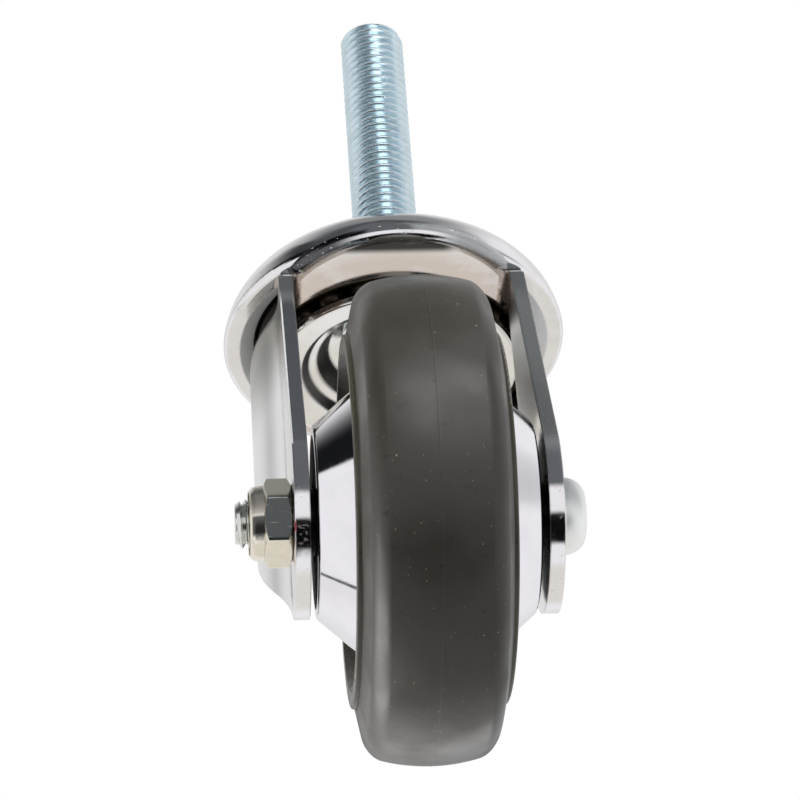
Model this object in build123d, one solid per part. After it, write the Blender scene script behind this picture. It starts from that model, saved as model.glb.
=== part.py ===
from build123d import *
import math
import os

# Swivel castor with a threaded stem, a pressed fork on two rows of balls, and a rubber-tyred wheel.
# Frame: Z is the stem and swivel axis, up. X is the axle direction, with the bolt head on +X.
# The wheel trails towards -Y. Z = 0 is the seat on top of the stem's collar.
# All sizes are in millimetres.

# ---- Stem ---------------------------------------------------------------------------------
STEM_D = 12.0                # M12 x 1.75 stem, modelled at its major diameter
STEM_LENGTH = 62.5           # from the seat to the top
STEM_CHAMFER = 1.3
STEM_ROOT_ROUND = 0.3        # fillet from the stem onto the seat
SHANK_D = 13.0               # plain part below the collar, through cap and races
COLLAR_D = 22.0
COLLAR_THICK = 2.0
COLLAR_CHAMFER = 0.5
PEEN_D = 16.0                # lower end, peened over under the race cup
PEEN_HEIGHT = 2.4

# ---- Cap ----------------------------------------------------------------------------------
CAP_D = 61.8
CAP_HEIGHT = 12.0
CAP_SHEET = 2.5
CAP_SHOULDER = 11.5          # horizontal reach of the domed shoulder
CAP_RIM_ROUND = 1.1          # rounding of the rim's outer edge
FLANGE_GAP = 0.4             # from the turned-in rim to the raised race's wall
FLANGE_SLOPE = 0.47          # share of the turned-in rim's width that slopes
FLANGE_RISE = 1.7            # rise of that slope, inwards
FLANGE_HEIGHT = 3.4
FLANGE_ROUND = 0.5

# ---- Swivel bearing -----------------------------------------------------------------------
UPPER_PITCH_R = 19.0         # radius of the ball row on the crown
UPPER_BALL_D = 7.144
UPPER_BALL_COUNT = 14
LOWER_PITCH_R = 20.2         # radius of the ball row under the crown
LOWER_BALL_D = 4.763
LOWER_BALL_COUNT = 20
BALL_CLEAR = 0.1             # running clearance of a ball in its groove
GROOVE_DEPTH = 0.3           # depth of each rolled ball groove
CUP_RIM = 1.9                # flange past the lower ball row's pitch circle
CUP_SHEET = 2.0
CUP_BALL_GAP = 0.15          # from the lower balls to the bowl's wall
CUP_DISH = 1.2               # rise of the flange towards the bowl
CUP_DEPTH = 7.6              # from the flange's lowest edge to the bowl's floor
CUP_SHOULDER_DROP = 1.1      # drop from the floor to the last bend before it
CUP_BOSS_DROP = 0.9
CUP_ROUND = 0.7              # rounding of the bowl's bends
CUP_EDGE_ROUND = 0.5
CUP_MOUTH = ((0.6, 0.0), (2.0, 1.6), (3.6, 2.3))    # bends under: in from the wall, up from the mouth
CUP_FLOOR = (5.7, 8.2)                              # the two bends before the floor, in from the wall
CUP_BOSS = (5.2, 4.3)                               # the two bends after the top, in from the wall
CUP_BACK = ((2.3, 3.3), (0.3, 1.9))                 # bends above: in from the wall, up from the flange
SPACER_WALL = 2.6            # ring around the stem between the cap and the cup

# ---- Fork ---------------------------------------------------------------------------------
SHEET = 2.5
LEG_INSIDE = 38.0            # between the legs at the axle
CROWN_D = 52.6               # round part of the crown, outside
FLARE_R = 20.0               # hollow curve from the leg's flat front to the round crown
BEND_IN_R = 2.0              # inside radius of the bend from crown to leg
RIM_GAP = 0.5                # between the cap's rim and the crown plate
RACE_WALL_GAP = 0.42         # from the lower balls to the raised race's wall
RACE_WALL = 1.8              # the raised race's wall, drawn thinner than the sheet
RACE_BORE_IN = 1.4           # the race ring's bore lies this far inside the cup's ball wall
ARCH_R = 22.8                # plan radius of the front edge of the crown
ARCH_REACH = 35.2            # from the swivel axis to the front of the arch
ARCH_ROUND = 2.0             # rounding of the arch's lower edge
RELIEF_R = 0.6               # relief notch where arch and leg meet
TIP_R = 15.8                 # rounding of the leg's end about the axle
FRONT_LEAN = 22.0            # degrees, the leg's front edge leans forward going down
REAR_RAKE = 50.0             # degrees, slope of the leg's lower rear edge
REAR_Y = 14.0                # upright rear edge of the leg
REAR_ROUND = 9.0

# ---- Axle ---------------------------------------------------------------------------------
TRAIL = 32.0                 # from the swivel axis to the axle
AXLE_DROP = 75.0             # from the seat to the axle
AXLE_D = 8.0                 # M8 bolt
AXLE_HOLE_CLEAR = 0.2        # radial, in the legs
BORE_CLEAR = 0.03            # radial, in the pieces that sit on the bolt
HEAD_D = 14.0                # over the flange under the head
HEAD_HEIGHT = 4.9
HEAD_FLANGE = 1.2
DOME_D = 12.8
SOCKET_AF = 5.0
SOCKET_DEPTH = 2.6
NUT_AF = 13.0
NUT_HEX = 4.6
NUT_COLLAR_D = 12.4
NUT_COLLAR = 2.4
NUT_COLLAR_ROUND = 1.0
NUT_CHAMFER = 0.8
NUT_TURN = 2.0               # degrees, how the tightened hexagon happens to sit
INSERT_WALL = 1.0            # nylon ring in the nut's collar
BOLT_STICKOUT = 2.2          # past the nut
BOLT_CHAMFER = 0.9

# ---- Wheel --------------------------------------------------------------------------------
WHEEL_D = 80.0
TREAD_W = 20.4               # between the tread's edges, before they are rounded
TREAD_CROWN = 1.75           # rise of the tread's middle over its edges
TREAD_ROUND = 2.9
SIDE_FLARE = 1.7             # tyre side leans out towards the rim
RIM_D = 61.0
RIM_W = 25.2                 # over the rim's two lips
RIM_WALL = 4.2
LIP_BEVEL = 1.6
KEY_W = 6.0                  # ring on the rim that locks the tyre
KEY_HEIGHT = 2.0
WEB_W = 5.0
RIB_COUNT = 6
RIB_THICK = 2.6
RIB_REACH = 3.6              # half width of the ribs across the wheel
HUB_WALL = 3.0

# ---- Wheel bearings -----------------------------------------------------------------------
BEARING_D = 22.0
BEARING_BORE = 8.0
BEARING_W = 7.0
BEARING_BALL_D = 3.97
BEARING_BALL_COUNT = 7
RING_WALL = 1.75             # inner and outer ring, at their shoulders
SHIELD_THICK = 0.3
SHIELD_INSET = 0.25
SHIELD_GAP = 0.3
CAGE_THICK = 0.5
CAGE_WIDTH = 2.6
CAGE_CLEAR = 0.12
BEARING_GAP = 2.5            # from the leg to the bearing, filled by an end spacer
SPACER_D = 11.0

# ---- Thread guards ------------------------------------------------------------------------
GUARD_SHEET = 0.8
GUARD_GAP = 1.1              # from the leg to the guard's flat end
GUARD_END_R = 15.7
GUARD_SKIRT = 1.8            # straight skirt pressed into the rim
GUARD_RIB_GAP = 0.3          # from the skirt to the wheel's ribs
GUARD_ROUND = 1.0
GUARD_HOLE_CLEAR = 1.2       # around the end spacer

# ---- Levels along Z -----------------------------------------------------------------------
CAP_TOP_Z = -COLLAR_THICK
CAP_UNDER_Z = CAP_TOP_Z - CAP_SHEET
RIM_Z = CAP_TOP_Z - CAP_HEIGHT
CUP_WALL_R = LOWER_PITCH_R - LOWER_BALL_D / 2 - CUP_BALL_GAP
RACE_HOLE_R = LOWER_PITCH_R + LOWER_BALL_D / 2 + RACE_WALL_GAP
UPPER_GAP = UPPER_BALL_D + 2 * BALL_CLEAR - 2 * GROOVE_DEPTH
LOWER_GAP = LOWER_BALL_D + 2 * BALL_CLEAR - 2 * GROOVE_DEPTH
RACE_TOP_Z = CAP_UNDER_Z - UPPER_GAP
RACE_UNDER_Z = RACE_TOP_Z - SHEET
PLATE_TOP_Z = RIM_Z - RIM_GAP
PLATE_UNDER_Z = PLATE_TOP_Z - SHEET
CUP_TOP_Z = RACE_UNDER_Z - LOWER_GAP
CUP_LOW_Z = CUP_TOP_Z - CUP_SHEET
CUP_FLOOR_Z = CUP_LOW_Z + CUP_DEPTH
BOSS_TOP_Z = CUP_FLOOR_Z + CUP_SHEET

# ---- Stations along the axle --------------------------------------------------------------
LEG_IN_X = LEG_INSIDE / 2
LEG_OUT_X = LEG_IN_X + SHEET
BEARING_OUT_X = LEG_IN_X - BEARING_GAP
BEARING_IN_X = BEARING_OUT_X - BEARING_W
GUARD_END_X = LEG_IN_X - GUARD_GAP
GUARD_CONE_X = RIB_REACH + GUARD_RIB_GAP + GUARD_SKIRT
NUT_END_X = LEG_OUT_X + NUT_HEX + NUT_COLLAR
HUB_R = BEARING_D / 2 + HUB_WALL
RIM_BORE_R = RIM_D / 2 - RIM_WALL
BALL_PITCH_R = (BEARING_BORE + BEARING_D) / 4
AXLE = Location((0, -TRAIL, -AXLE_DROP))


def outline(points, rounds=()):
    """Closed flat outline in the X-Z plane; rounds lists (corner point, radius) pairs."""
    face = make_face(Plane.XZ * Polyline(*points, close=True))
    for (x, z), radius in rounds:
        corner = Vector(x, 0, z)
        nearest = min(face.vertices(), key=lambda v: (Vector(v) - corner).length)
        face = fillet(nearest, radius)
    return face


def turned(points, rounds=(), axis=Axis.Z):
    """Solid of revolution of an outline about the swivel axis (Z) or the axle (X)."""
    return revolve(outline(points, rounds), axis, 360)


def ring(inner_r, outer_r, x_low, x_high):
    """Plain ring about the axle direction."""
    return turned([(x_low, inner_r), (x_high, inner_r), (x_high, outer_r), (x_low, outer_r)], axis=Axis.X)


def mirrored_x(solid):
    """The same piece on the other side of the wheel."""
    return mirror(solid, about=Plane.YZ)


def ball_row(ball_d, count, pitch_r, z):
    """Balls evenly spaced on a circle about Z, as separate solids."""
    ball = Sphere(ball_d / 2)
    return [Location((0, 0, z)) * loc * ball for loc in PolarLocations(pitch_r, count)]


def groove(ball_d, pitch_r, z):
    """Ring-shaped cutter of a ball row's running groove, about the swivel axis."""
    return Location((0, 0, z)) * Torus(pitch_r, ball_d / 2 + BALL_CLEAR)


UPPER_BALL_Z = (CAP_UNDER_Z + RACE_TOP_Z) / 2
LOWER_BALL_Z = (RACE_UNDER_Z + CUP_TOP_Z) / 2


# ---- Fixed head: stem, cap, spacer ring, lower race cup -------------------------------------
def threaded_stem():
    """Stem with its collar on the cap, a plain shank through the swivel and a peened lower end."""
    r = STEM_D / 2
    shank_r = SHANK_D / 2
    collar_r = COLLAR_D / 2
    peen_r = PEEN_D / 2
    low = CUP_FLOOR_Z - PEEN_HEIGHT
    profile = [
        (0, STEM_LENGTH), (r - STEM_CHAMFER, STEM_LENGTH), (r, STEM_LENGTH - STEM_CHAMFER), (r, 0),
        (collar_r - COLLAR_CHAMFER, 0), (collar_r, -COLLAR_CHAMFER), (collar_r, CAP_TOP_Z),
        (shank_r, CAP_TOP_Z), (shank_r, CUP_FLOOR_Z), (peen_r, CUP_FLOOR_Z),
        (peen_r, CUP_FLOOR_Z - PEEN_HEIGHT / 3), (peen_r * 0.6, low), (0, low),
    ]
    return turned(profile, [((r, 0), STEM_ROOT_ROUND), ((peen_r * 0.6, low), PEEN_HEIGHT)])


def dome_points(outer_r, shoulder, height, top_z, low_z, steps=10):
    """Ellipse of the cap's shoulder, from the flat top out and down to the level low_z."""
    flat_r = outer_r - shoulder
    rim_z = top_z - height
    last = math.acos((low_z - rim_z) / height)
    angles = [last * i / steps for i in range(steps + 1)]
    return [(flat_r + shoulder * math.sin(a), rim_z + height * math.cos(a)) for a in angles]


def top_cap():
    """Domed cap with its rim turned inwards, and the upper ball groove under its flat top."""
    bore_r = SHANK_D / 2 + BORE_CLEAR
    rim_r = CAP_D / 2
    fold_r = RACE_HOLE_R + RACE_WALL + FLANGE_GAP
    flat_r = fold_r + (rim_r - fold_r) * FLANGE_SLOPE
    fold_z = RIM_Z + FLANGE_HEIGHT
    depth = CAP_HEIGHT - CAP_SHEET
    outer = dome_points(rim_r, CAP_SHOULDER, CAP_HEIGHT, CAP_TOP_Z, RIM_Z)
    inner = dome_points(rim_r - CAP_SHEET, CAP_SHOULDER - CAP_SHEET / 2, depth, CAP_UNDER_Z, fold_z)
    flange = [outer[-1], (flat_r, RIM_Z), (fold_r, RIM_Z + FLANGE_RISE), (fold_r, fold_z), inner[-1]]
    edges = [
        Line((bore_r, CAP_UNDER_Z), (bore_r, CAP_TOP_Z)), Line((bore_r, CAP_TOP_Z), outer[0]),
        Spline(*outer, tangents=[(1, 0), (0, -1)]), Polyline(*flange),
        Spline(*reversed(inner)), Line(inner[0], (bore_r, CAP_UNDER_Z)),
    ]
    face = make_face(Plane.XZ * Wire(Curve() + edges))
    face = fillet(face.vertices().group_by(Axis.Z)[0].sort_by(Axis.X)[-1], CAP_RIM_ROUND)
    bends = [v for v in face.vertices() if v.Z < fold_z - FLANGE_ROUND and v.X < (flat_r + rim_r) / 2]
    cap = revolve(fillet(bends, FLANGE_ROUND), Axis.Z, 360)
    return cap - groove(UPPER_BALL_D, UPPER_PITCH_R, UPPER_BALL_Z)


def race_spacer():
    """Ring round the stem that holds the lower race cup at its distance from the cap."""
    inner_r = SHANK_D / 2 + BORE_CLEAR
    outer_r = inner_r + SPACER_WALL
    profile = [(inner_r, CAP_UNDER_Z), (outer_r, CAP_UNDER_Z), (outer_r, BOSS_TOP_Z), (inner_r, BOSS_TOP_Z)]
    return turned(profile)


def lower_race_cup():
    """Pressed cup: a dished flange under the lower balls and a stepped bowl up to the peened stem."""
    bore_r = SHANK_D / 2 + BORE_CLEAR
    rim_r = LOWER_PITCH_R + CUP_RIM
    wall_r = CUP_WALL_R
    mouth_z = CUP_LOW_Z + CUP_DISH
    under = [(rim_r, CUP_LOW_Z)] + [(wall_r - inwards, mouth_z + rise) for inwards, rise in CUP_MOUTH]
    under += [(wall_r - CUP_FLOOR[0], CUP_FLOOR_Z - CUP_SHOULDER_DROP)]
    under += [(wall_r - CUP_FLOOR[1], CUP_FLOOR_Z), (bore_r, CUP_FLOOR_Z)]
    over = [(bore_r, BOSS_TOP_Z), (wall_r - CUP_BOSS[0], BOSS_TOP_Z)]
    over += [(wall_r - CUP_BOSS[1], BOSS_TOP_Z - CUP_BOSS_DROP)]
    over += [(wall_r - inwards, CUP_TOP_Z + rise) for inwards, rise in CUP_BACK]
    over += [(wall_r, CUP_TOP_Z), (rim_r, CUP_TOP_Z)]
    rounds = [(corner, CUP_ROUND) for corner in under[1:6] + over[2:5]]
    rounds += [(under[0], CUP_EDGE_ROUND), (over[-1], CUP_EDGE_ROUND)]
    return turned(under + over, rounds) - groove(LOWER_BALL_D, LOWER_PITCH_R, LOWER_BALL_Z)


# ---- Fork ---------------------------------------------------------------------------------
def fork_plan():
    """Plan outline of the pressing: flat leg fronts that flare out into the round crown."""
    crown_r = CROWN_D / 2
    front_y = -TRAIL - TIP_R - SHEET
    hollow_x = LEG_OUT_X + FLARE_R
    hollow_y = -math.sqrt((crown_r + FLARE_R) ** 2 - hollow_x ** 2)
    share = crown_r / (crown_r + FLARE_R)
    meet = Vector(hollow_x * share, hollow_y * share)
    centre = Vector(hollow_x, hollow_y)
    start = Vector(LEG_OUT_X, hollow_y)
    middle = centre + ((start - centre) + (meet - centre)).normalized() * FLARE_R
    right = [
        Line((LEG_OUT_X, front_y), tuple(start)[:2]),
        ThreePointArc(start, middle, meet),
        ThreePointArc(meet, (crown_r, 0), (0, crown_r)),
    ]
    left = [mirror(edge, about=Plane.YZ) for edge in right]
    front = Line((-LEG_OUT_X, front_y), (LEG_OUT_X, front_y))
    return make_face(Wire(Curve() + right + left + [front]))


def pressed_skin():
    """Drawn shell of constant sheet: plate on top, upright walls all round, one bend between."""
    plan = fork_plan()
    depth = AXLE_DROP + TIP_R + SHEET + PLATE_TOP_Z
    bend_out = BEND_IN_R + SHEET
    outer = Location((0, 0, PLATE_TOP_Z)) * extrude(plan, -depth)
    inner = Location((0, 0, PLATE_UNDER_Z)) * extrude(offset(plan, -SHEET), -depth)
    outer = fillet(outer.edges().group_by(Axis.Z)[-1], bend_out)
    inner = fillet(inner.edges().group_by(Axis.Z)[-1], BEND_IN_R)
    return outer - inner


def leg_profile():
    """Side view of a leg: leaning front edge, round tip about the axle, raked rear edge."""
    lean = math.radians(FRONT_LEAN)
    rake = math.radians(REAR_RAKE)
    axle = Vector(-TRAIL, -AXLE_DROP)
    front_n = Vector(-math.cos(lean), math.sin(lean))
    rear_n = Vector(math.sin(rake), -math.cos(rake))
    front = axle + front_n * TIP_R
    rear = axle + rear_n * TIP_R
    tip = axle + (front_n + rear_n).normalized() * TIP_R
    rise = (PLATE_TOP_Z - front.Y) / math.cos(lean)
    top_front = front + Vector(math.sin(lean), math.cos(lean)) * rise
    run = (REAR_Y - rear.X) / math.cos(rake)
    rear_knee = rear + Vector(math.cos(rake), math.sin(rake)) * run
    edges = [
        ThreePointArc(front, tip, rear), Line(rear, rear_knee), Line(rear_knee, (REAR_Y, PLATE_TOP_Z)),
        Line((REAR_Y, PLATE_TOP_Z), top_front), Line(top_front, front),
    ]
    face = make_face(Wire(Curve() + edges))
    knee = min(face.vertices(), key=lambda v: (Vector(v) - rear_knee).length)
    return fillet(knee, REAR_ROUND)


def crown_region():
    """Everything of the pressing that belongs to the crown plate, bounded by the front arch."""
    arch_y = ARCH_R - ARCH_REACH
    reach = CROWN_D
    plan = Location((0, arch_y)) * Circle(ARCH_R)
    plan += Location((0, arch_y + reach / 2)) * Rectangle(2 * reach, reach)
    plate = Location((0, 0, PLATE_UNDER_Z)) * extrude(plan, SHEET)
    front = plate.edges().group_by(Axis.Z)[0].sort_by(Axis.Y)[0]
    return fillet(front, ARCH_ROUND)


def race_ring():
    """Raised ring of the crown: lower balls run under it and upper balls on it."""
    bore_r = CUP_WALL_R - RACE_BORE_IN
    wall_r = RACE_HOLE_R + RACE_WALL
    profile = [
        (bore_r, RACE_UNDER_Z), (RACE_HOLE_R, RACE_UNDER_Z), (RACE_HOLE_R, PLATE_UNDER_Z),
        (wall_r, PLATE_UNDER_Z), (wall_r, RACE_TOP_Z), (bore_r, RACE_TOP_Z),
    ]
    rounds = [(profile[1], 1.0), (profile[2], 0.8), (profile[4], 2.0)]
    return turned(profile, rounds)


def fork():
    """One pressing: crown with a raised race ring, front arch, and two flared legs."""
    span = CROWN_D + 2 * SHEET
    legs = Location((-span / 2, 0, 0)) * extrude(Plane.YZ * leg_profile(), span)
    region = legs + crown_region()
    body = pressed_skin() & region
    plate_mid_z = (PLATE_TOP_Z + PLATE_UNDER_Z) / 2
    body -= Location((0, 0, plate_mid_z)) * Cylinder(RACE_HOLE_R + RACE_WALL / 2, 4 * SHEET)
    body += race_ring()
    body -= groove(UPPER_BALL_D, UPPER_PITCH_R, UPPER_BALL_Z)
    body -= groove(LOWER_BALL_D, LOWER_PITCH_R, LOWER_BALL_Z)
    hole = Cylinder(AXLE_D / 2 + AXLE_HOLE_CLEAR, span, rotation=(0, 90, 0))
    body -= AXLE * hole
    lean = math.tan(math.radians(FRONT_LEAN))
    notch_z = PLATE_UNDER_Z - RELIEF_R
    notch_y = -TRAIL - TIP_R / math.cos(math.radians(FRONT_LEAN)) + (notch_z + AXLE_DROP) * lean
    notch = Cylinder(RELIEF_R, 4 * SHEET, rotation=(0, 90, 0))
    for side in (-1, 1):
        body -= Location((side * LEG_IN_X, notch_y, notch_z)) * notch
    return body


# ---- Axle pieces on the fork ---------------------------------------------------------------
def axle_bolt():
    """Button-head bolt through the legs, with a hexagon socket in the head."""
    r = AXLE_D / 2
    end_x = -(NUT_END_X + BOLT_STICKOUT)
    head_r = HEAD_D / 2
    flange_x = LEG_OUT_X + HEAD_FLANGE
    dome_r = DOME_D / 2
    top_x = LEG_OUT_X + HEAD_HEIGHT
    flat_r = SOCKET_AF / 2 + 0.8
    edges = [
        Line((end_x, 0), (end_x, r - BOLT_CHAMFER)), Line((end_x, r - BOLT_CHAMFER), (end_x + BOLT_CHAMFER, r)),
        Line((end_x + BOLT_CHAMFER, r), (LEG_OUT_X, r)), Line((LEG_OUT_X, r), (LEG_OUT_X, head_r)),
        Polyline((LEG_OUT_X, head_r), (flange_x, head_r), (flange_x, dome_r)),
        TangentArc((flange_x, dome_r), (top_x, flat_r), tangent=(1, -0.2)),
        Line((top_x, flat_r), (top_x, 0)), Line((top_x, 0), (end_x, 0)),
    ]
    bolt = revolve(make_face(Plane.XZ * Wire(Curve() + edges)), Axis.X, 360)
    hexagon = Plane.YZ * RegularPolygon(SOCKET_AF / 2, 6, major_radius=False)
    socket = Location((top_x - SOCKET_DEPTH, 0, 0)) * extrude(hexagon, SOCKET_DEPTH + 1)
    return AXLE * (bolt - socket)


def lock_nut():
    """Hexagon nut with chamfered corners and a collar that holds the nylon ring."""
    corner_r = NUT_AF / math.sqrt(3)
    bore_r = AXLE_D / 2 + BORE_CLEAR
    collar_r = NUT_COLLAR_D / 2
    face_x = -LEG_OUT_X
    hex_x = face_x - NUT_HEX
    end_x = -NUT_END_X
    hexagon = Plane.YZ * RegularPolygon(corner_r, 6, rotation=NUT_TURN)
    body = Location((hex_x, 0, 0)) * extrude(hexagon, NUT_HEX)
    rise = NUT_CHAMFER * 0.6
    barrel = turned([
        (face_x, 0), (face_x, corner_r - NUT_CHAMFER), (face_x - rise, corner_r), (hex_x + rise, corner_r),
        (hex_x, corner_r - NUT_CHAMFER), (hex_x, 0),
    ], axis=Axis.X)
    body = (body & barrel) + turned([
        (hex_x, 0), (hex_x, collar_r), (end_x, collar_r - NUT_COLLAR_ROUND / 4), (end_x, 0),
    ], [((end_x, collar_r - NUT_COLLAR_ROUND / 4), NUT_COLLAR_ROUND)], Axis.X)
    insert_r = bore_r + INSERT_WALL
    body -= ring(0, bore_r, end_x - 1, face_x + 1)
    body -= ring(0, insert_r, end_x - 1, hex_x + 0.3)
    return AXLE * body


def nut_nylon_ring():
    """Nylon ring that grips the bolt's thread inside the nut's collar."""
    bore_r = AXLE_D / 2 + BORE_CLEAR
    hex_x = -(LEG_OUT_X + NUT_HEX)
    return AXLE * ring(bore_r, bore_r + INSERT_WALL, -NUT_END_X + 0.4, hex_x + 0.3)


def bearing_tube():
    """Tube on the bolt between the two bearings' inner rings."""
    return AXLE * ring(AXLE_D / 2 + BORE_CLEAR, SPACER_D / 2, -BEARING_IN_X, BEARING_IN_X)


def end_spacer():
    """Short tube from the bearing's inner ring to the leg, on the right side."""
    return AXLE * ring(AXLE_D / 2 + BORE_CLEAR, SPACER_D / 2, BEARING_OUT_X, LEG_IN_X)


# ---- Wheel bearings ------------------------------------------------------------------------
def bearing_groove():
    """Cutter of the ball groove in the right bearing's rings."""
    middle_x = (BEARING_IN_X + BEARING_OUT_X) / 2
    minor = BEARING_BALL_D / 2 + BALL_CLEAR / 2
    return Location((middle_x, 0, 0), (0, 90, 0)) * Torus(BALL_PITCH_R, minor)


def inner_ring():
    """Inner ring of the right bearing, clamped on the bolt."""
    bore_r = BEARING_BORE / 2 + BORE_CLEAR
    body = ring(bore_r, BEARING_BORE / 2 + RING_WALL, BEARING_IN_X, BEARING_OUT_X)
    return AXLE * (body - bearing_groove())


def outer_ring():
    """Outer ring of the right bearing, pressed into the hub."""
    body = ring(BEARING_D / 2 - RING_WALL, BEARING_D / 2, BEARING_IN_X, BEARING_OUT_X)
    return AXLE * (body - bearing_groove())


def bearing_shields():
    """The two thin shields of the right bearing, held by its outer ring."""
    inner_r = BEARING_BORE / 2 + RING_WALL + SHIELD_GAP
    outer_r = BEARING_D / 2 - RING_WALL
    near = BEARING_IN_X + SHIELD_INSET
    far = BEARING_OUT_X - SHIELD_INSET
    pair = [(near, near + SHIELD_THICK), (far - SHIELD_THICK, far)]
    return [AXLE * ring(inner_r, outer_r, low, high) for low, high in pair]


def bearing_balls():
    """Balls of the right bearing, as separate solids."""
    middle_x = (BEARING_IN_X + BEARING_OUT_X) / 2
    turn = Location((middle_x, 0, 0), (0, 90, 0))
    ball = Sphere(BEARING_BALL_D / 2)
    return [AXLE * turn * loc * ball for loc in PolarLocations(BALL_PITCH_R, BEARING_BALL_COUNT)]


def bearing_cage():
    """Thin ring with a round pocket for each ball of the right bearing."""
    middle_x = (BEARING_IN_X + BEARING_OUT_X) / 2
    inner_r = BALL_PITCH_R - CAGE_THICK / 2
    band = ring(inner_r, inner_r + CAGE_THICK, middle_x - CAGE_WIDTH, middle_x + CAGE_WIDTH)
    turn = Location((middle_x, 0, 0), (0, 90, 0))
    pocket = Cylinder(BEARING_BALL_D / 2 + CAGE_CLEAR, 6 * CAGE_THICK, rotation=(0, 90, 0))
    for loc in PolarLocations(BALL_PITCH_R, BEARING_BALL_COUNT):
        band -= turn * loc * pocket
    return AXLE * band


# ---- Wheel ---------------------------------------------------------------------------------
def wheel_core():
    """Moulded core: hub with two bearing seats, ribbed web, and a rim with proud lips."""
    rim_r = RIM_D / 2
    lip_x = RIM_W / 2
    key_r = rim_r + KEY_HEIGHT
    rim = turned([
        (-lip_x, RIM_BORE_R + LIP_BEVEL), (-lip_x + LIP_BEVEL * 1.5, RIM_BORE_R),
        (lip_x - LIP_BEVEL * 1.5, RIM_BORE_R), (lip_x, RIM_BORE_R + LIP_BEVEL), (lip_x, rim_r),
        (KEY_W / 2, rim_r), (KEY_W / 2, key_r), (-KEY_W / 2, key_r), (-KEY_W / 2, rim_r), (-lip_x, rim_r),
    ], [((side * lip_x, rim_r), 0.4) for side in (-1, 1)], Axis.X)
    web = ring(HUB_R - 1, RIM_BORE_R + 1, -WEB_W / 2, WEB_W / 2)
    hub = ring(SPACER_D / 2 + 1.5, HUB_R, -BEARING_OUT_X, BEARING_OUT_X)
    core = rim + web + hub
    rib_mid_r = (HUB_R + RIM_BORE_R) / 2
    rib = Box(2 * RIB_REACH, RIB_THICK, RIM_BORE_R - HUB_R + 1)
    for index in range(RIB_COUNT):
        core += Rotation(360 / RIB_COUNT * index, 0, 0) * Location((0, 0, rib_mid_r)) * rib
    seat = ring(0, BEARING_D / 2, BEARING_IN_X, BEARING_OUT_X + 1)
    return AXLE * (core - seat - mirrored_x(seat))


def tyre():
    """Rubber tyre moulded on the rim, with a crowned tread and rounded shoulders."""
    rim_r = RIM_D / 2
    key_r = rim_r + KEY_HEIGHT
    tread_x = TREAD_W / 2
    side_x = tread_x + SIDE_FLARE
    edge_r = WHEEL_D / 2 - TREAD_CROWN
    crown = ThreePointArc((-tread_x, edge_r), (0, WHEEL_D / 2), (tread_x, edge_r))
    inside = [
        (tread_x, edge_r), (side_x, rim_r), (KEY_W / 2, rim_r), (KEY_W / 2, key_r),
        (-KEY_W / 2, key_r), (-KEY_W / 2, rim_r), (-side_x, rim_r), (-tread_x, edge_r),
    ]
    face = make_face(Plane.XZ * Wire(Curve() + [crown] + [Polyline(*inside)]))
    shoulders = [v for v in face.vertices() if abs(v.Z - edge_r) < TREAD_CROWN]
    return AXLE * revolve(fillet(shoulders, TREAD_ROUND), Axis.X, 360)


def thread_guard():
    """Chrome cone on the wheel's right side, from the rim's bore to a flat end beside the leg."""
    skirt_x = GUARD_CONE_X - GUARD_SKIRT
    slope = math.atan2(RIM_BORE_R - GUARD_END_R, GUARD_END_X - GUARD_CONE_X)
    hole_r = SPACER_D / 2 + GUARD_HOLE_CLEAR
    inner_end_r = GUARD_END_R - GUARD_SHEET * math.tan(math.pi / 4 - slope / 2)
    inner_cone_x = GUARD_CONE_X - GUARD_SHEET * math.tan(slope / 2)
    points = [
        (GUARD_END_X, hole_r), (GUARD_END_X, GUARD_END_R), (GUARD_CONE_X, RIM_BORE_R), (skirt_x, RIM_BORE_R),
        (skirt_x, RIM_BORE_R - GUARD_SHEET), (inner_cone_x, RIM_BORE_R - GUARD_SHEET),
        (GUARD_END_X - GUARD_SHEET, inner_end_r), (GUARD_END_X - GUARD_SHEET, hole_r),
    ]
    rounds = [(points[1], GUARD_ROUND), (points[2], GUARD_ROUND)]
    return AXLE * turned(points, rounds, Axis.X)


def build_parts():
    """Every node of the castor by name."""
    parts = {
        "threaded_stem": threaded_stem(),
        "top_cap": top_cap(),
        "race_spacer": race_spacer(),
        "lower_race_cup": lower_race_cup(),
        "upper_balls": ball_row(UPPER_BALL_D, UPPER_BALL_COUNT, UPPER_PITCH_R, UPPER_BALL_Z),
        "lower_balls": ball_row(LOWER_BALL_D, LOWER_BALL_COUNT, LOWER_PITCH_R, LOWER_BALL_Z),
        "fork": fork(),
        "axle_bolt": axle_bolt(),
        "lock_nut": lock_nut(),
        "nut_nylon_ring": nut_nylon_ring(),
        "bearing_tube": bearing_tube(),
        "wheel_core": wheel_core(),
        "tyre": tyre(),
    }
    sided = {
        "thread_guard": [thread_guard()],
        "end_spacer": [end_spacer()],
        "bearing_inner": [inner_ring()],
        "bearing_outer": [outer_ring()],
        "bearing_shields": bearing_shields(),
        "bearing_balls": bearing_balls(),
        "bearing_cage": [bearing_cage()],
    }
    for name, solids in sided.items():
        parts[name + "_right"] = solids
        parts[name + "_left"] = [mirrored_x(solid) for solid in solids]
    return parts


def export_all():
    """Write each node to parts/NODE.step."""
    os.makedirs("parts", exist_ok=True)
    for name, shape in build_parts().items():
        solids = shape if isinstance(shape, list) else [shape]
        node = solids[0] if len(solids) == 1 else Compound(children=[s.solid() for s in solids])
        export_step(node, os.path.join("parts", name + ".step"))


export_all()
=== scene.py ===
import logging
import math
from dataclasses import dataclass
from enum import Enum

import bmesh
import bpy
import numpy as np
from bpy.types import Material, Mesh, Node, NodeSocket, NodeTree, Object
from mathutils import Matrix, Vector


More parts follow.
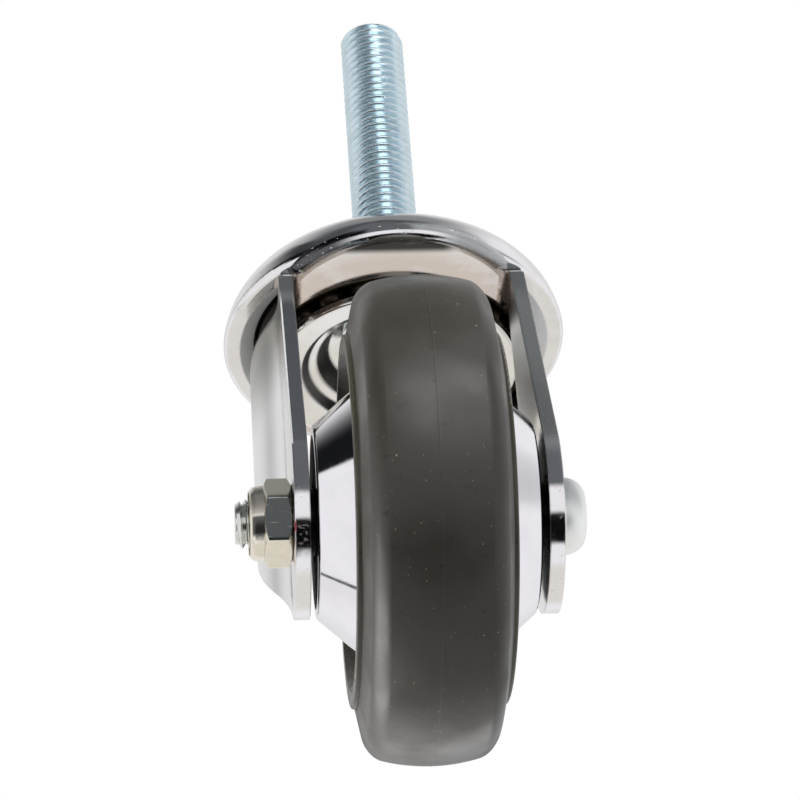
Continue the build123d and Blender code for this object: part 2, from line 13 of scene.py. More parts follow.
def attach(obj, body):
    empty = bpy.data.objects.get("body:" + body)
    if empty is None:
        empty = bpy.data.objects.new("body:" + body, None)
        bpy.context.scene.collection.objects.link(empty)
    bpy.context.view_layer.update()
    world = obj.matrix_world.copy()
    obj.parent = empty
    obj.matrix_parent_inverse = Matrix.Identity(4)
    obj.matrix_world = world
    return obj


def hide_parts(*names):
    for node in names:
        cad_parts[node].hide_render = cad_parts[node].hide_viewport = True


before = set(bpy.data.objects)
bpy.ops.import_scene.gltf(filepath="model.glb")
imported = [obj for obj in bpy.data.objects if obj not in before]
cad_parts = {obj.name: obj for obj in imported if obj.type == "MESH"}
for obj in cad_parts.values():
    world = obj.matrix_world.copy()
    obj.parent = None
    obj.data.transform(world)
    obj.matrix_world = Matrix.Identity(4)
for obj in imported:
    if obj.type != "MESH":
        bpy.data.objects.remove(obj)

LOG = logging.getLogger("swivel_castor")
MM = 0.001
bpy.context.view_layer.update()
# Whatever is smaller than this counts as nothing.
TINY = 1e-6
# How far a side at 60 degrees rises per unit of width: thread flanks and the nut's chamfers.
STEEP = 1.732
WHITE = (1.0, 1.0, 1.0, 1.0)

# Points of the castor in mm: its origin on the seat, the middle of the axle, the middle of the
# curve that the front arch follows, and the foot of the legs' leaning front edge.
ORIGIN = (0.0, 0.0, 0.0)
WHEEL_CENTRE = (0.0, -32.0, -75.0)
ARCH_CENTRE = (0.0, -12.4, 0.0)
LEG_FRONT_FOOT = (0.0, -46.65, -69.07)


class Body(Enum):
    """The rigid bodies of the castor that new pieces ride on."""

    HEAD = "head"
    FORK = "fork_body"
    WHEEL = "wheel_body"


class Turning(Enum):
    """The two axes that round pieces are turned about."""

    STEM = "stem"
    AXLE = "axle"


class Cloud(Enum):
    """Two kinds of noise: ragged for drifts and patches, even for grain and ripples."""

    RAGGED = {"Detail": 4.0, "Roughness": 0.55}
    EVEN = {"Detail": 3.0, "Roughness": 0.5}


class Step(Enum):
    """How a value changes between its two ends."""

    SOFT = "SMOOTHSTEP"
    STRAIGHT = "LINEAR"


# ---- Colour and shader helpers ------------------------------------------------------------------
# Noise levels between which a drift or a grain goes from none to full, and how far a grain takes
# the gloss below and above its own value.
DRIFT_LEVELS = (0.35, 0.8)
GRAIN_LEVELS = (0.3, 0.7)
GLOSS_SPREAD = (0.75, 1.35)
EDGE_SAMPLES = 6


def linear(hex_colour: str) -> tuple[float, float, float, float]:
    """Turn an sRGB hex colour into linear light.

    Args:
        hex_colour: Six hex digits, such as "c8c8c8".

    Returns:
        Red, green, blue and an alpha of 1.
    """
    parts = np.array([int(hex_colour[i:i + 2], 16) for i in (0, 2, 4)]) / 255
    light = np.where(parts <= 0.04045, parts / 12.92, ((parts + 0.055) / 1.055) ** 2.4)
    return (*light.tolist(), 1.0)


def node(tree: NodeTree, kind: str, inputs: dict | None = None, **settings) -> Node:
    """Add one node with its settings, values and links.

    Args:
        tree: The node tree that gets the node.
        kind: The node's type name, without the ShaderNode that all of them start with.
        inputs: Input name or index to a value, or to the output socket that feeds it.
        **settings: Properties set on the node itself.

    Returns:
        The new node.
    """
    made = tree.nodes.new(f"ShaderNode{kind}")
    for name, value in settings.items():
        setattr(made, name, value)
    for name, value in (inputs or {}).items():
        if isinstance(value, NodeSocket):
            tree.links.new(value, made.inputs[name])
        else:
            made.inputs[name].default_value = value
    return made


def cloud(
    tree: NodeTree, spot: NodeSocket, size_mm: float, kind: Cloud, levels: tuple[float, float],
    values: tuple[float, float] = (0.0, 1.0), step: Step = Step.SOFT,
) -> NodeSocket:
    """Noise of a real size, taken from a stretch of its levels to a stretch of values.

    Args:
        tree: The material's node tree.
        spot: The spot in mm.
        size_mm: Size of one patch of the noise.
        kind: Which kind of noise.
        levels: Noise levels where the change starts and ends.
        values: What the two levels become.
        step: How the change runs between them.

    Returns:
        The value.
    """
    noise = node(tree, "TexNoise", {"Vector": spot, "Scale": 1 / size_mm, **kind.value})
    taken = node(tree, "MapRange", {
        "Value": noise.outputs["Fac"], "From Min": levels[0], "From Max": levels[1],
        "To Min": values[0], "To Max": values[1],
    }, interpolation_type=step.value)
    return taken.outputs[0]


# ---- Mesh helpers -------------------------------------------------------------------------------
def ring_angles(columns: int) -> np.ndarray:
    """Angles of evenly spaced columns round an axis, in radians, as one row."""
    return (np.arange(columns) * 2 * math.pi / columns)[None]


def rounded(
    corners: list[tuple[float, float, float]], steps: int = 6, hold: float = 0.04, least: float = 1e-4,
) -> np.ndarray:
    """Round the corners of a closed outline.

    Each corner B with neighbours A and C becomes an arc of radius r that touches both sides, at
    r / tan(angle / 2) from B. With the arc's centre M, its ends S and E from there and its sweep w,
    the point at share t is M + (sin((1 - t) w) S + sin(t w) E) / sin(w). A point at a small
    distance before and after each arc keeps the flat stretches flat under smooth shading.

    Args:
        corners: Corners in order, as (along the axis, distance from it, rounding) in mm.
        steps: Stretches of each arc.
        hold: Distance of the holding points from the arc in mm.
        least: A point nearer than this to the one before it is left out, in mm.

    Returns:
        Array of outline points, shape (n, 2).
    """
    table = np.array(corners, float)
    corner, radius = table[:, :2], np.maximum(table[:, 2:], TINY)
    back = np.roll(corner, 1, 0) - corner
    ahead = np.roll(corner, -1, 0) - corner
    back /= np.linalg.norm(back, axis=1, keepdims=True)
    ahead /= np.linalg.norm(ahead, axis=1, keepdims=True)
    half = np.arccos(np.clip((back * ahead).sum(1), -1, 1))[:, None] / 2
    reach = radius / np.tan(np.minimum(half, math.pi / 2 - TINY))
    middle = back + ahead
    middle /= np.maximum(np.linalg.norm(middle, axis=1, keepdims=True), TINY)
    centre = corner + middle * radius / np.sin(half)
    start, end = corner + back * reach - centre, corner + ahead * reach - centre
    sweep = np.maximum(math.pi - 2 * half, TINY)[:, None]
    share = np.linspace(0, 1, steps + 1)[None, :, None]
    bend = np.sin((1 - share) * sweep) * start[:, None] + np.sin(share * sweep) * end[:, None]
    arcs = centre[:, None] + bend / np.sin(sweep)
    before = (corner + back * (reach + hold))[:, None]
    after = (corner + ahead * (reach + hold))[:, None]
    line = np.concatenate([before, arcs, after], 1).reshape(-1, 2)
    apart = np.linalg.norm(line - np.roll(line, 1, 0), axis=1)
    return line[apart > least]


def place(along: np.ndarray, radius: np.ndarray, angle: np.ndarray, turning: Turning) -> np.ndarray:
    """Turn a round piece's coordinates into points in metres.

    About the stem: (r cos a, r sin a, z). About the axle: (x, y0 + r cos a, z0 + r sin a).

    Args:
        along: Place along the axis in mm.
        radius: Distance from the axis in mm.
        angle: Angle round the axis in radians.
        turning: Which axis.

    Returns:
        Array of points with a last dimension of 3.
    """
    first, second = radius * np.cos(angle), radius * np.sin(angle)
    if turning is Turning.STEM:
        return np.stack([first, second, along + 0 * first], -1) * MM
    _, axle_y, axle_z = WHEEL_CENTRE
    return np.stack([along + 0 * first, first + axle_y, second + axle_z], -1) * MM


def grid_mesh(name: str, points: np.ndarray, closed_rows: bool) -> Mesh:
    """Join a grid of points into a skin of quads that closes round its columns.

    Quad (i, j) joins rows i and i + 1 and columns j and j + 1, columns counted round.

    Args:
        name: Name of the mesh.
        points: Points, shape (rows, columns, 3), in metres.
        closed_rows: Whether the last row joins the first.

    Returns:
        The mesh, with doubles merged and its faces pointing outwards.
    """
    rows, columns = points.shape[:2]
    index = np.arange(rows * columns).reshape(rows, columns)
    if closed_rows:
        index = np.vstack([index, index[:1]])
    ring = np.hstack([index, index[:, :1]])
    quads = np.stack([ring[:-1, :-1], ring[:-1, 1:], ring[1:, 1:], ring[1:, :-1]], -1)
    quads = quads.reshape(-1, 4)
    mesh = bpy.data.meshes.new(name)
    mesh.vertices.add(rows * columns)
    mesh.vertices.foreach_set("co", points.reshape(-1).astype(np.float32))
    mesh.loops.add(quads.size)
    mesh.loops.foreach_set("vertex_index", quads.reshape(-1).astype(np.int32))
    mesh.polygons.add(len(quads))
    mesh.polygons.foreach_set("loop_start", np.arange(0, quads.size, 4, dtype=np.int32))
    mesh.update(calc_edges=True)
    return tidied(mesh)


def tidied(mesh: Mesh, merge: float = 2e-6, empty: float = 1e-7) -> Mesh:
    """Merge doubled points, drop empty faces and point every face outwards.

    Args:
        mesh: The mesh to work on.
        merge: Points closer than this are merged, in metres.
        empty: Edges shorter than this are taken out, in metres.

    Returns:
        The same mesh, shaded smooth.
    """
    work = bmesh.new()
    work.from_mesh(mesh)
    bmesh.ops.remove_doubles(work, verts=work.verts, dist=merge)
    bmesh.ops.dissolve_degenerate(work, edges=work.edges, dist=empty)
    bmesh.ops.recalc_face_normals(work, faces=work.faces)
    work.to_mesh(mesh)
    work.free()
    mesh.validate()
    mesh.shade_smooth()
    return mesh


def piece(
    name: str, mesh: Mesh, finish: "Finish", body: Body, replaces: tuple[str, ...] = ()
) -> Object:
    """Put a finished mesh into the castor.

    Args:
        name: Name of the piece.
        mesh: Its mesh, in metres in the castor's frame.
        finish: What its surface is.
        body: The body that it moves with.
        replaces: The solids that it stands for.

    Returns:
        The new object.
    """
    made = bpy.data.objects.new(name, mesh)
    bpy.context.scene.collection.objects.link(made)
    mesh.materials.append(finish.material())
    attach(made, body.value)
    if replaces:
        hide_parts(*replaces)
    LOG.info("%s: %d faces, %s", name, len(mesh.polygons), finish.name)
    return made


def dress(nodes: tuple[str, ...], finish: "Finish") -> None:
    """Give solids that keep their own mesh their finish.

    Args:
        nodes: Names of the solids.
        finish: What their surface is.
    """
    for name in nodes:
        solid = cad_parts[name]
        solid.data.materials.clear()
        solid.data.materials.append(finish.material())
        LOG.info("%s: as built, %s", name, finish.name)


# ---- Places on the castor -----------------------------------------------------------------------
def facing(degrees: float) -> tuple[float, float, float]:
    """Direction in the wheel's plane, at an angle from +Y towards +Z, to four places."""
    turn = math.radians(degrees)
    return (0.0, round(math.cos(turn), 4), round(math.sin(turn), 4))


class Along(Enum):
    """Distances in mm that a mark's place is given in: (centre, weights, whether it is a length).

    X, Y and Z are plain coordinates, and ASIDE is the distance to either side of the middle.
    FROM_STEM, FROM_ARCH and FROM_AXLE are distances from upright lines through the origin and the
    arch's centre and from the axle's line. LEG_FRONT runs backwards, square to the legs' front
    edge, which leans by 22 degrees. NUT_FRONT and NUT_TOP run from the axle towards two flats of
    the lock nut, which face down in front and up in front.
    """

    X = (ORIGIN, (1, 0, 0), False)
    Y = (ORIGIN, (0, 1, 0), False)
    Z = (ORIGIN, (0, 0, 1), False)
    ASIDE = (ORIGIN, (1, 0, 0), True)
    FROM_STEM = (ORIGIN, (1, 1, 0), True)
    FROM_ARCH = (ARCH_CENTRE, (1, 1, 0), True)
    FROM_AXLE = (WHEEL_CENTRE, (0, 1, 1), True)
    LEG_FRONT = (LEG_FRONT_FOOT, facing(-22.0), False)
    NUT_FRONT = (WHEEL_CENTRE, facing(207.0), False)
    NUT_TOP = (WHEEL_CENTRE, facing(147.0), False)

    def measure(self, tree: NodeTree, spot: NodeSocket) -> NodeSocket:
        """Distance of a spot: (spot - centre) dot weights, or the length of their product.

        Args:
            tree: The material's node tree.
            spot: The spot in mm.

        Returns:
            The distance in mm.
        """
        centre, weights, is_length = self.value
        away = node(tree, "VectorMath", {0: spot, 1: centre}, operation="SUBTRACT")
        weighed = node(tree, "VectorMath", {0: away.outputs[0], 1: weights},
                       operation="MULTIPLY" if is_length else "DOT_PRODUCT")
        if not is_length:
            return weighed.outputs["Value"]
        length = node(tree, "VectorMath", {0: weighed.outputs[0]}, operation="LENGTH")
        return length.outputs["Value"]


@dataclass(frozen=True)
class Reach:
    """Stretch of one distance that a mark covers, in mm, with soft ends."""

    along: Along
    low: float
    high: float
    soft: float = 0.3

    def share(self, tree: NodeTree, spot: NodeSocket) -> NodeSocket:
        """Rise from 0 to 1 at the low end, times a fall from 1 to 0 at the high end.

        Args:
            tree: The material's node tree.
            spot: The spot in mm.

        Returns:
            The share from 0 to 1.
        """
        distance = self.along.measure(tree, spot)
        half = self.soft / 2
        rise, fall = (
            node(tree, "MapRange", {
                "Value": distance, "From Min": end - half, "From Max": end + half,
                "To Min": before, "To Max": 1.0 - before,
            }, interpolation_type=Step.SOFT.value)
            for end, before in ((self.low, 0.0), (self.high, 1.0))
        )
        both = node(tree, "Math", {0: rise.outputs[0], 1: fall.outputs[0]}, operation="MULTIPLY")
        return both.outputs[0]


@dataclass(frozen=True)
class StainOrPaintedLight:
    """Dirt, grease, wear, a change of tone, or painted light and shade, in some places, in patches, or
    both.

    Attributes:
        colour: Its tone.
        amount: How much of the tone under it is covered, 0 to 1.
        gloss: Its roughness.
        places: Stretches that it covers, all at once.
        patch_mm: Size of the patches that it is broken into; 0 for none.
        floor: Noise level where a patch starts.
        ceiling: Noise level where a patch is full.
        stretch: How much longer a patch is along x, y and z.
        metal: How metallic it is.
    """

    colour: str
    amount: float
    gloss: float
    places: tuple[Reach, ...] = ()
    patch_mm: float = 0.0
    floor: float = 0.45
    ceiling: float = 0.6
    stretch: tuple[float, float, float] = (1.0, 1.0, 1.0)
    metal: float = 1.0

    def mask(self, tree: NodeTree, spot: NodeSocket) -> NodeSocket:
        """Multiply its amount by the shares of its places and by its patches.

        Args:
            tree: The material's node tree.
            spot: The spot in mm.

        Returns:
            The share of the surface that it covers.
        """
        shares = [place_in.share(tree, spot) for place_in in self.places]
        if self.patch_mm:
            shrink = tuple(1 / length for length in self.stretch)
            drawn = node(tree, "VectorMath", {0: spot, 1: shrink}, operation="MULTIPLY").outputs[0]
            shares.append(cloud(tree, drawn, self.patch_mm, Cloud.RAGGED, (self.floor, self.ceiling),
                                step=Step.STRAIGHT))
        total = self.amount
        for share in shares:
            step = node(tree, "Math", {0: total, 1: share}, operation="MULTIPLY")
            total = step.outputs[0]
        return total


# ---- Finishes -----------------------------------------------------------------------------------
@dataclass(frozen=True)
class Finish:
    """What a surface is made of; the same finish is made only once.

    Attributes:
        name: Name of the material.
        slot: Name of the part's slot that it fills.
        colour: Its main tone.
        shade: The tone that it drifts to.
        drift: How much of the drift shows, 0 to 1.
        drift_mm: Size of the drifting patches.
        gloss: Its roughness.
        metal: How metallic it is.
        grain_mm: Size of the grain that varies its gloss.
        wave_mm: Size of the ripples of its surface.
        wave_height: Height of the ripples in mm.
        edge_mm: Radius that its edges look rounded to; 0 for as built.
        shine: Specular level of its non-metallic share.
        stains_and_painted_light: Dirt and wear, and painted light and shade, from the lowest layer up.
    """

    name: str
    slot: str
    colour: str
    shade: str
    drift: float = 0.3
    drift_mm: float = 5.0
    gloss: float = 0.2
    metal: float = 1.0
    grain_mm: float = 0.8
    wave_mm: float = 6.0
    wave_height: float = 0.02
    edge_mm: float = 0.0
    shine: float = 0.5
    stains_and_painted_light: tuple[StainOrPaintedLight, ...] = ()

    def material(self) -> Material:
        """Look up this finish's material, or make it the first time.

        Returns:
            The material.
        """
        found = bpy.data.materials.get(self.name)
        if found:
            return found
        made = bpy.data.materials.new(self.name)
        made.use_nodes = True
        made.node_tree.nodes.clear()
        self.paint(made.node_tree)
        return made

    def relief(self, tree: NodeTree, spot: NodeSocket) -> NodeSocket:
        """Faint ripples, over edges that look rounded where the finish asks for it.

        Args:
            tree: The material's node tree.
            spot: The spot in mm.

        Returns:
            The surface's direction.
        """
        ripple = node(tree, "TexNoise", {
            "Vector": spot, "Scale": 1 / self.wave_mm, **Cloud.EVEN.value,
        })
        bump = node(tree, "Bump", {
            "Height": ripple.outputs["Fac"], "Strength": 1.0, "Distance": self.wave_height * MM,
        })
        if self.edge_mm:
            edge = node(tree, "Bevel", {"Radius": self.edge_mm * MM}, samples=EDGE_SAMPLES)
            tree.links.new(edge.outputs["Normal"], bump.inputs["Normal"])
        return bump.outputs["Normal"]

    def paint(self, tree: NodeTree) -> None:
        """Main tone with a slow drift and gloss with a fine grain, then the marks of dirt, wear and
        painted light over both in order.

        Args:
            tree: The material's empty node tree.
        """
        place_at = node(tree, "TexCoord").outputs["Object"]
        scaled = node(tree, "VectorMath", {0: place_at, 1: (1 / MM,) * 3}, operation="MULTIPLY")
        spot = scaled.outputs[0]
        drift = cloud(tree, spot, self.drift_mm, Cloud.RAGGED, DRIFT_LEVELS, (0.0, self.drift))
        colour = node(tree, "Mix", {"Factor": drift, "A": linear(self.colour), "B": linear(self.shade)},
                      data_type="RGBA").outputs["Result"]
        spread = tuple(self.gloss * share for share in GLOSS_SPREAD)
        gloss = cloud(tree, spot, self.grain_mm, Cloud.EVEN, GRAIN_LEVELS, spread)
        metal = self.metal
        for stain_or_light in self.stains_and_painted_light:
            share = stain_or_light.mask(tree, spot)
            colour = node(tree, "Mix", {"Factor": share, "A": colour, "B": linear(stain_or_light.colour)},
                          data_type="RGBA").outputs["Result"]
            gloss = node(tree, "Mix", {0: share, 2: gloss, 3: stain_or_light.gloss}).outputs[0]
            if stain_or_light.metal != self.metal or isinstance(metal, NodeSocket):
                metal = node(tree, "Mix", {0: share, 2: metal, 3: stain_or_light.metal}).outputs[0]
        shader = node(tree, "BsdfPrincipled", {
            "Base Color": colour, "Metallic": metal, "Roughness": gloss,
            "Normal": self.relief(tree, spot), "Specular IOR Level": self.shine,
        })
        node(tree, "OutputMaterial", {"Surface": shader.outputs["BSDF"]})


# Stretches that two marks share: the front arch's rounded edge, the wall of the drawn ring that
# the lower balls run in, and the lock nut's flat that faces down in front.
ARCH_EDGE = (Reach(Along.FROM_ARCH, 21.9, 23.6, 0.2), Reach(Along.Z, -17.1, -14.2, 0.1))
RACE_WALL = (Reach(Along.FROM_STEM, 0.0, 24.05, 0.2), Reach(Along.Z, -17.05, -13.0, 0.1))
NUT_FRONT_FLAT = (Reach(Along.NUT_FRONT, 6.38, 6.7, 0.1),)

# Bright decorative chrome over nickel on a pressed cap: a clear mirror that ripples faintly with
# the pressing. The slope inside its rim is painted pale and satin as a painted reflection of the
# bright room, and further in old grease is darkened as painted shade in the hollow.
CAP_CHROME = Finish(
    "chrome_on_pressed_cap", "chrome", "f0eff0", "cfcdc9", gloss=0.12, wave_mm=9.0, wave_height=0.03,
    edge_mm=0.2,
    stains_and_painted_light=(
        # Painted reflection: the slope inside the rim is painted a pale, nearly diffuse white.
        StainOrPaintedLight("f6f7f6", 0.95, 0.5, (
            Reach(Along.FROM_STEM, 25.2, 28.0, 0.5), Reach(Along.Z, -14.2, -9.0),
        ), metal=0.1),
        # Old grease in the hollow under the dome, darkened further as painted shade.
        StainOrPaintedLight("51472f", 0.9, 0.6, (
            Reach(Along.FROM_STEM, 20.0, 25.4, 0.4), Reach(Along.Z, -13.6, -4.6),
        ), metal=0.8),
    ),
)

# The same chrome on the fork: a sharper mirror on the faces. The bends, the sheared edges and the
# race ring are tarnished, scratched and greasy, which tells the eye that it is bent sheet. Several
# of the tones below are painted shade, highlights and reflections, each noted where it stands.
FORK_CHROME = Finish(
    "chrome_on_pressed_fork", "chrome", "f0eff0", "dddbd8", drift=0.15, gloss=0.09, wave_mm=8.0,
    wave_height=0.03, edge_mm=0.3,
    stains_and_painted_light=(
        # Crown's underside: a warm haze, and a dark patch inside the arch that is a painted reflection
        # of the dark room in front and below.
        StainOrPaintedLight("d9cbc0", 0.7, 0.14, (
            Reach(Along.Z, -17.5, -16.7), Reach(Along.FROM_STEM, 20.0, 30.5, 5.0),
        ), patch_mm=9.0, floor=0.3, ceiling=0.5),
        StainOrPaintedLight("4a4946", 1.0, 0.3, (
            Reach(Along.Z, -17.4, -16.0), Reach(Along.X, -11.0, 9.0, 4.0),
            Reach(Along.Y, -36.0, -30.8, 2.0), Reach(Along.FROM_ARCH, 12.0, 21.3, 0.5),
        ), patch_mm=5.0, floor=0.1, ceiling=0.4, stretch=(3.0, 1.0, 1.0), metal=0.8),
        # Legs: brown streaks inside the bends, then a grey band high on the left leg's outer side that
        # is painted shade under the cap.
        StainOrPaintedLight("9c8270", 0.9, 0.25, (
            Reach(Along.ASIDE, 17.4, 19.3, 0.6), Reach(Along.Z, -27.0, -16.6, 5.0),
            Reach(Along.Y, -60.0, -16.0, 3.0),
        ), patch_mm=1.6, floor=0.3, ceiling=0.5, stretch=(1.0, 1.0, 14.0), metal=0.5),
        StainOrPaintedLight("77776e", 0.85, 0.25, (
            Reach(Along.X, -30.0, -20.5, 0.4), Reach(Along.Z, -31.0, -10.0, 16.0),
            Reach(Along.Y, -27.0, 12.0, 6.0),
        ), metal=0.7),
        # A painted highlight down the left leg's front corner, and a grey inner side on the right leg
        # that is painted shade beside the guard.
        StainOrPaintedLight("f4f4f4", 0.9, 0.3, (
            Reach(Along.X, -21.8, -21.25, 0.1), Reach(Along.LEG_FRONT, -0.5, 0.4, 0.2),
            Reach(Along.Z, -70.0, -17.5),
        ), metal=0.2),
        StainOrPaintedLight("8f9290", 0.75, 0.3, (
            Reach(Along.X, 18.5, 19.4, 0.2), Reach(Along.Z, -62.0, -22.0, 8.0),
        ), metal=0.6),
        # Arch: painted reflections over its rounded edge, pale like the underside towards its ends,
        # dark on the left and grey on the right; then pale flecks.
        StainOrPaintedLight("cbbfb5", 0.85, 0.3, (
            Reach(Along.FROM_ARCH, 20.6, 21.9, 0.3), Reach(Along.Z, -17.1, -14.9, 0.1),
            Reach(Along.ASIDE, 10.0, 30.0, 5.0),
        ), metal=0.5),
        StainOrPaintedLight("4b4b4f", 0.95, 0.25, (*ARCH_EDGE, Reach(Along.X, -30.0, -9.0, 7.0)),
              patch_mm=0.5, floor=0.2, ceiling=0.33),
        StainOrPaintedLight("aeb1b3", 0.9, 0.3, (*ARCH_EDGE, Reach(Along.X, 8.0, 30.0, 7.0)), metal=0.4),
        StainOrPaintedLight("e6e7e8", 0.9, 0.3, (
            Reach(Along.FROM_ARCH, 21.2, 23.2, 0.1), Reach(Along.Z, -17.3, -14.0, 0.1),
        ), patch_mm=0.55, floor=0.64, ceiling=0.68, stretch=(2.5, 1.0, 1.0), metal=0.4),
        # Legs' front edges: grey on the right as a painted reflection, grey at the top of both as
        # painted shade under the cap, pale flecks of the shear.
        StainOrPaintedLight("7f8382", 0.85, 0.3, (
            Reach(Along.X, 18.8, 21.8, 0.1), Reach(Along.Z, -72.0, -10.0, 14.0),
            Reach(Along.LEG_FRONT, -0.6, 0.4, 0.1),
        ), metal=0.7),
        StainOrPaintedLight("7c7f82", 1.0, 0.3, (
            Reach(Along.ASIDE, 18.8, 21.8, 0.2), Reach(Along.Z, -25.0, -16.2, 6.0),
            Reach(Along.LEG_FRONT, -3.0, 0.3),
        ), metal=0.7),
        StainOrPaintedLight("d4d5d7", 0.7, 0.3, (
            Reach(Along.ASIDE, 19.1, 21.4, 0.06), Reach(Along.Z, -95.0, -17.5),
        ), patch_mm=0.5, floor=0.63, ceiling=0.68),
        # Race ring: brown grease with lighter patches inside, and a dark line along its outer wall,
        # mostly on the left, that is painted shade in the gap under the cap.
        StainOrPaintedLight("4a412c", 1.0, 0.6, RACE_WALL, metal=0.8),
        StainOrPaintedLight("a3977a", 0.6, 0.5, RACE_WALL, patch_mm=2.5, floor=0.55, ceiling=0.7),
        StainOrPaintedLight("1b1713", 1.0, 0.5, (
            Reach(Along.FROM_STEM, 24.4, 25.3, 0.3), Reach(Along.Z, -16.6, -10.0),
            Reach(Along.X, -40.0, 10.0, 12.0),
        ), metal=0.0),
        # Left leg's tip: a red speck on its outer side, and rust brown spots on its edge.
        StainOrPaintedLight("b01f2b", 1.0, 0.3, (
            Reach(Along.X, -22.0, -21.3, 0.1), Reach(Along.Y, -45.0, -42.6),
            Reach(Along.Z, -85.1, -83.5),
        ), metal=0.0),
        StainOrPaintedLight("5f2c26", 0.8, 0.35, (
            Reach(Along.X, -21.1, -19.4, 0.2), Reach(Along.FROM_AXLE, 15.5, 16.0, 0.1),
            Reach(Along.Z, -86.8, -84.4),
        ), patch_mm=0.7, floor=0.54, ceiling=0.6, stretch=(2.0, 1.0, 1.0), metal=0.2),
    ),
)

# Chrome on spun sheet: the clearest mirror of all, with a flat end painted black as the shade in
# the narrow gap beside the leg.
GUARD_CHROME = Finish(
    "chrome_on_spun_guard", "chrome", "f3f2f5", "dcdbe0", gloss=0.06, wave_mm=7.0, wave_height=0.015,
    stains_and_painted_light=(
        StainOrPaintedLight("0c0b0b", 1.0, 0.6, (
            Reach(Along.ASIDE, 17.5, 18.4, 0.25), Reach(Along.FROM_AXLE, 0.0, 14.2, 0.4),
        ), metal=0.0),
    ),
)

# Chrome on the pressed race cup: two dark rings in the bends of its bowl, painted shade and
# reflections there, and dried grease where the lower balls run.
CUP_CHROME = Finish(
    "chrome_on_race_cup", "chrome", "f0efec", "c9c6be", gloss=0.1, wave_mm=7.0, wave_height=0.03,
    stains_and_painted_light=(
        StainOrPaintedLight("33332e", 0.95, 0.3, (
            Reach(Along.FROM_STEM, 15.6, 17.0, 0.7), Reach(Along.Z, -19.2, -16.0, 0.5),
        ), metal=0.8),
        StainOrPaintedLight("3d3d37", 0.95, 0.3, (
            Reach(Along.FROM_STEM, 11.9, 14.2, 0.9), Reach(Along.Z, -17.0, -12.0, 0.5),
        ), metal=0.8),
        StainOrPaintedLight("241c12", 0.95, 0.45, (
            Reach(Along.FROM_STEM, 17.2, 22.4), Reach(Along.Z, -18.6, -8.0, 0.5),
        ), metal=0.0),
    ),
)

# Zinc plate with a blue passivate on rolled thread: a satin metal with a cold blue cast.
STEM_ZINC = Finish(
    "blue_passivated_zinc", "zinc", "d9ebf3", "b4c6ce", drift=0.4, drift_mm=3.0, gloss=0.2, metal=0.9,
    wave_mm=3.0, wave_height=0.02,
)

# Bright zinc on a bought-in bolt: a soft mirror with a clear passivate, and a paler satin dome.
BOLT_ZINC = Finish(
    "bright_zinc_fastener", "zinc", "e6e8e4", "c6c6bd", drift=0.35, drift_mm=2.5, gloss=0.2,
    wave_mm=3.0, wave_height=0.02,
    stains_and_painted_light=(StainOrPaintedLight("fbfdfb", 0.95, 0.5, (Reach(Along.X, 22.7, 29.0, 0.4),)),),
)

# Bright zinc with a thin yellow passivate on the lock nut. Its front flat is dark, with scratches
# along the axle, its top flat is grey, and its collar has a pale band that is a painted highlight
# and a dark band that is a painted reflection.
NUT_ZINC = Finish(
    "bright_zinc_nut", "zinc", "f1ecdf", "dcd8c8", drift=0.4, drift_mm=2.5, gloss=0.2, wave_mm=2.5,
    wave_height=0.02,
    stains_and_painted_light=(
        StainOrPaintedLight("4d5254", 0.95, 0.3, NUT_FRONT_FLAT, patch_mm=3.0, floor=0.2, ceiling=0.4),
        StainOrPaintedLight("c2c5c2", 0.7, 0.3, NUT_FRONT_FLAT, patch_mm=0.45, floor=0.6, ceiling=0.68,
              stretch=(9.0, 1.0, 1.0)),
        StainOrPaintedLight("9b998d", 0.85, 0.3, (Reach(Along.NUT_TOP, 6.3, 6.7, 0.2),), metal=0.4),
        StainOrPaintedLight("f4eee0", 0.95, 0.5, (
            Reach(Along.X, -28.2, -26.0, 0.2), Reach(Along.Y, -45.0, -35.5),
            Reach(Along.Z, -77.0, -73.4, 0.6),
        )),
        StainOrPaintedLight("35373a", 0.9, 0.3, (
            Reach(Along.X, -28.0, -26.0, 0.2), Reach(Along.Y, -45.0, -35.0),
            Reach(Along.Z, -79.8, -77.4, 0.5),
        ), metal=0.8),
    ),
)

# Ground and polished bearing steel: a neutral, slightly dark mirror.
BALL_STEEL = Finish(
    "polished_bearing_steel", "ball_steel", "a9a8a6", "8c8a86", gloss=0.14, wave_height=0.0,
)

# The same steel under old grease: brown and dull.
GREASED_STEEL = Finish(
    "greased_bearing_steel", "ball_steel", "2a2118", "46371f", drift=0.8, drift_mm=1.5, gloss=0.35,
    metal=0.5,
)

# Thin stamped steel, as rolled: the same grey with a duller shine.
SHIELD_STEEL = Finish("stamped_shield_steel", "shield_steel", "a9a8a6", "8c8a86", gloss=0.3)

# Turned steel tube under oil and road dirt, painted nearly black as the shade in the gap beside the
# leg.
OILED_STEEL_AND_SHADE = Finish(
    "oiled_steel_and_painted_shade", "zinc", "161514", "24211d", gloss=0.45, metal=0.4, wave_height=0.0,
)

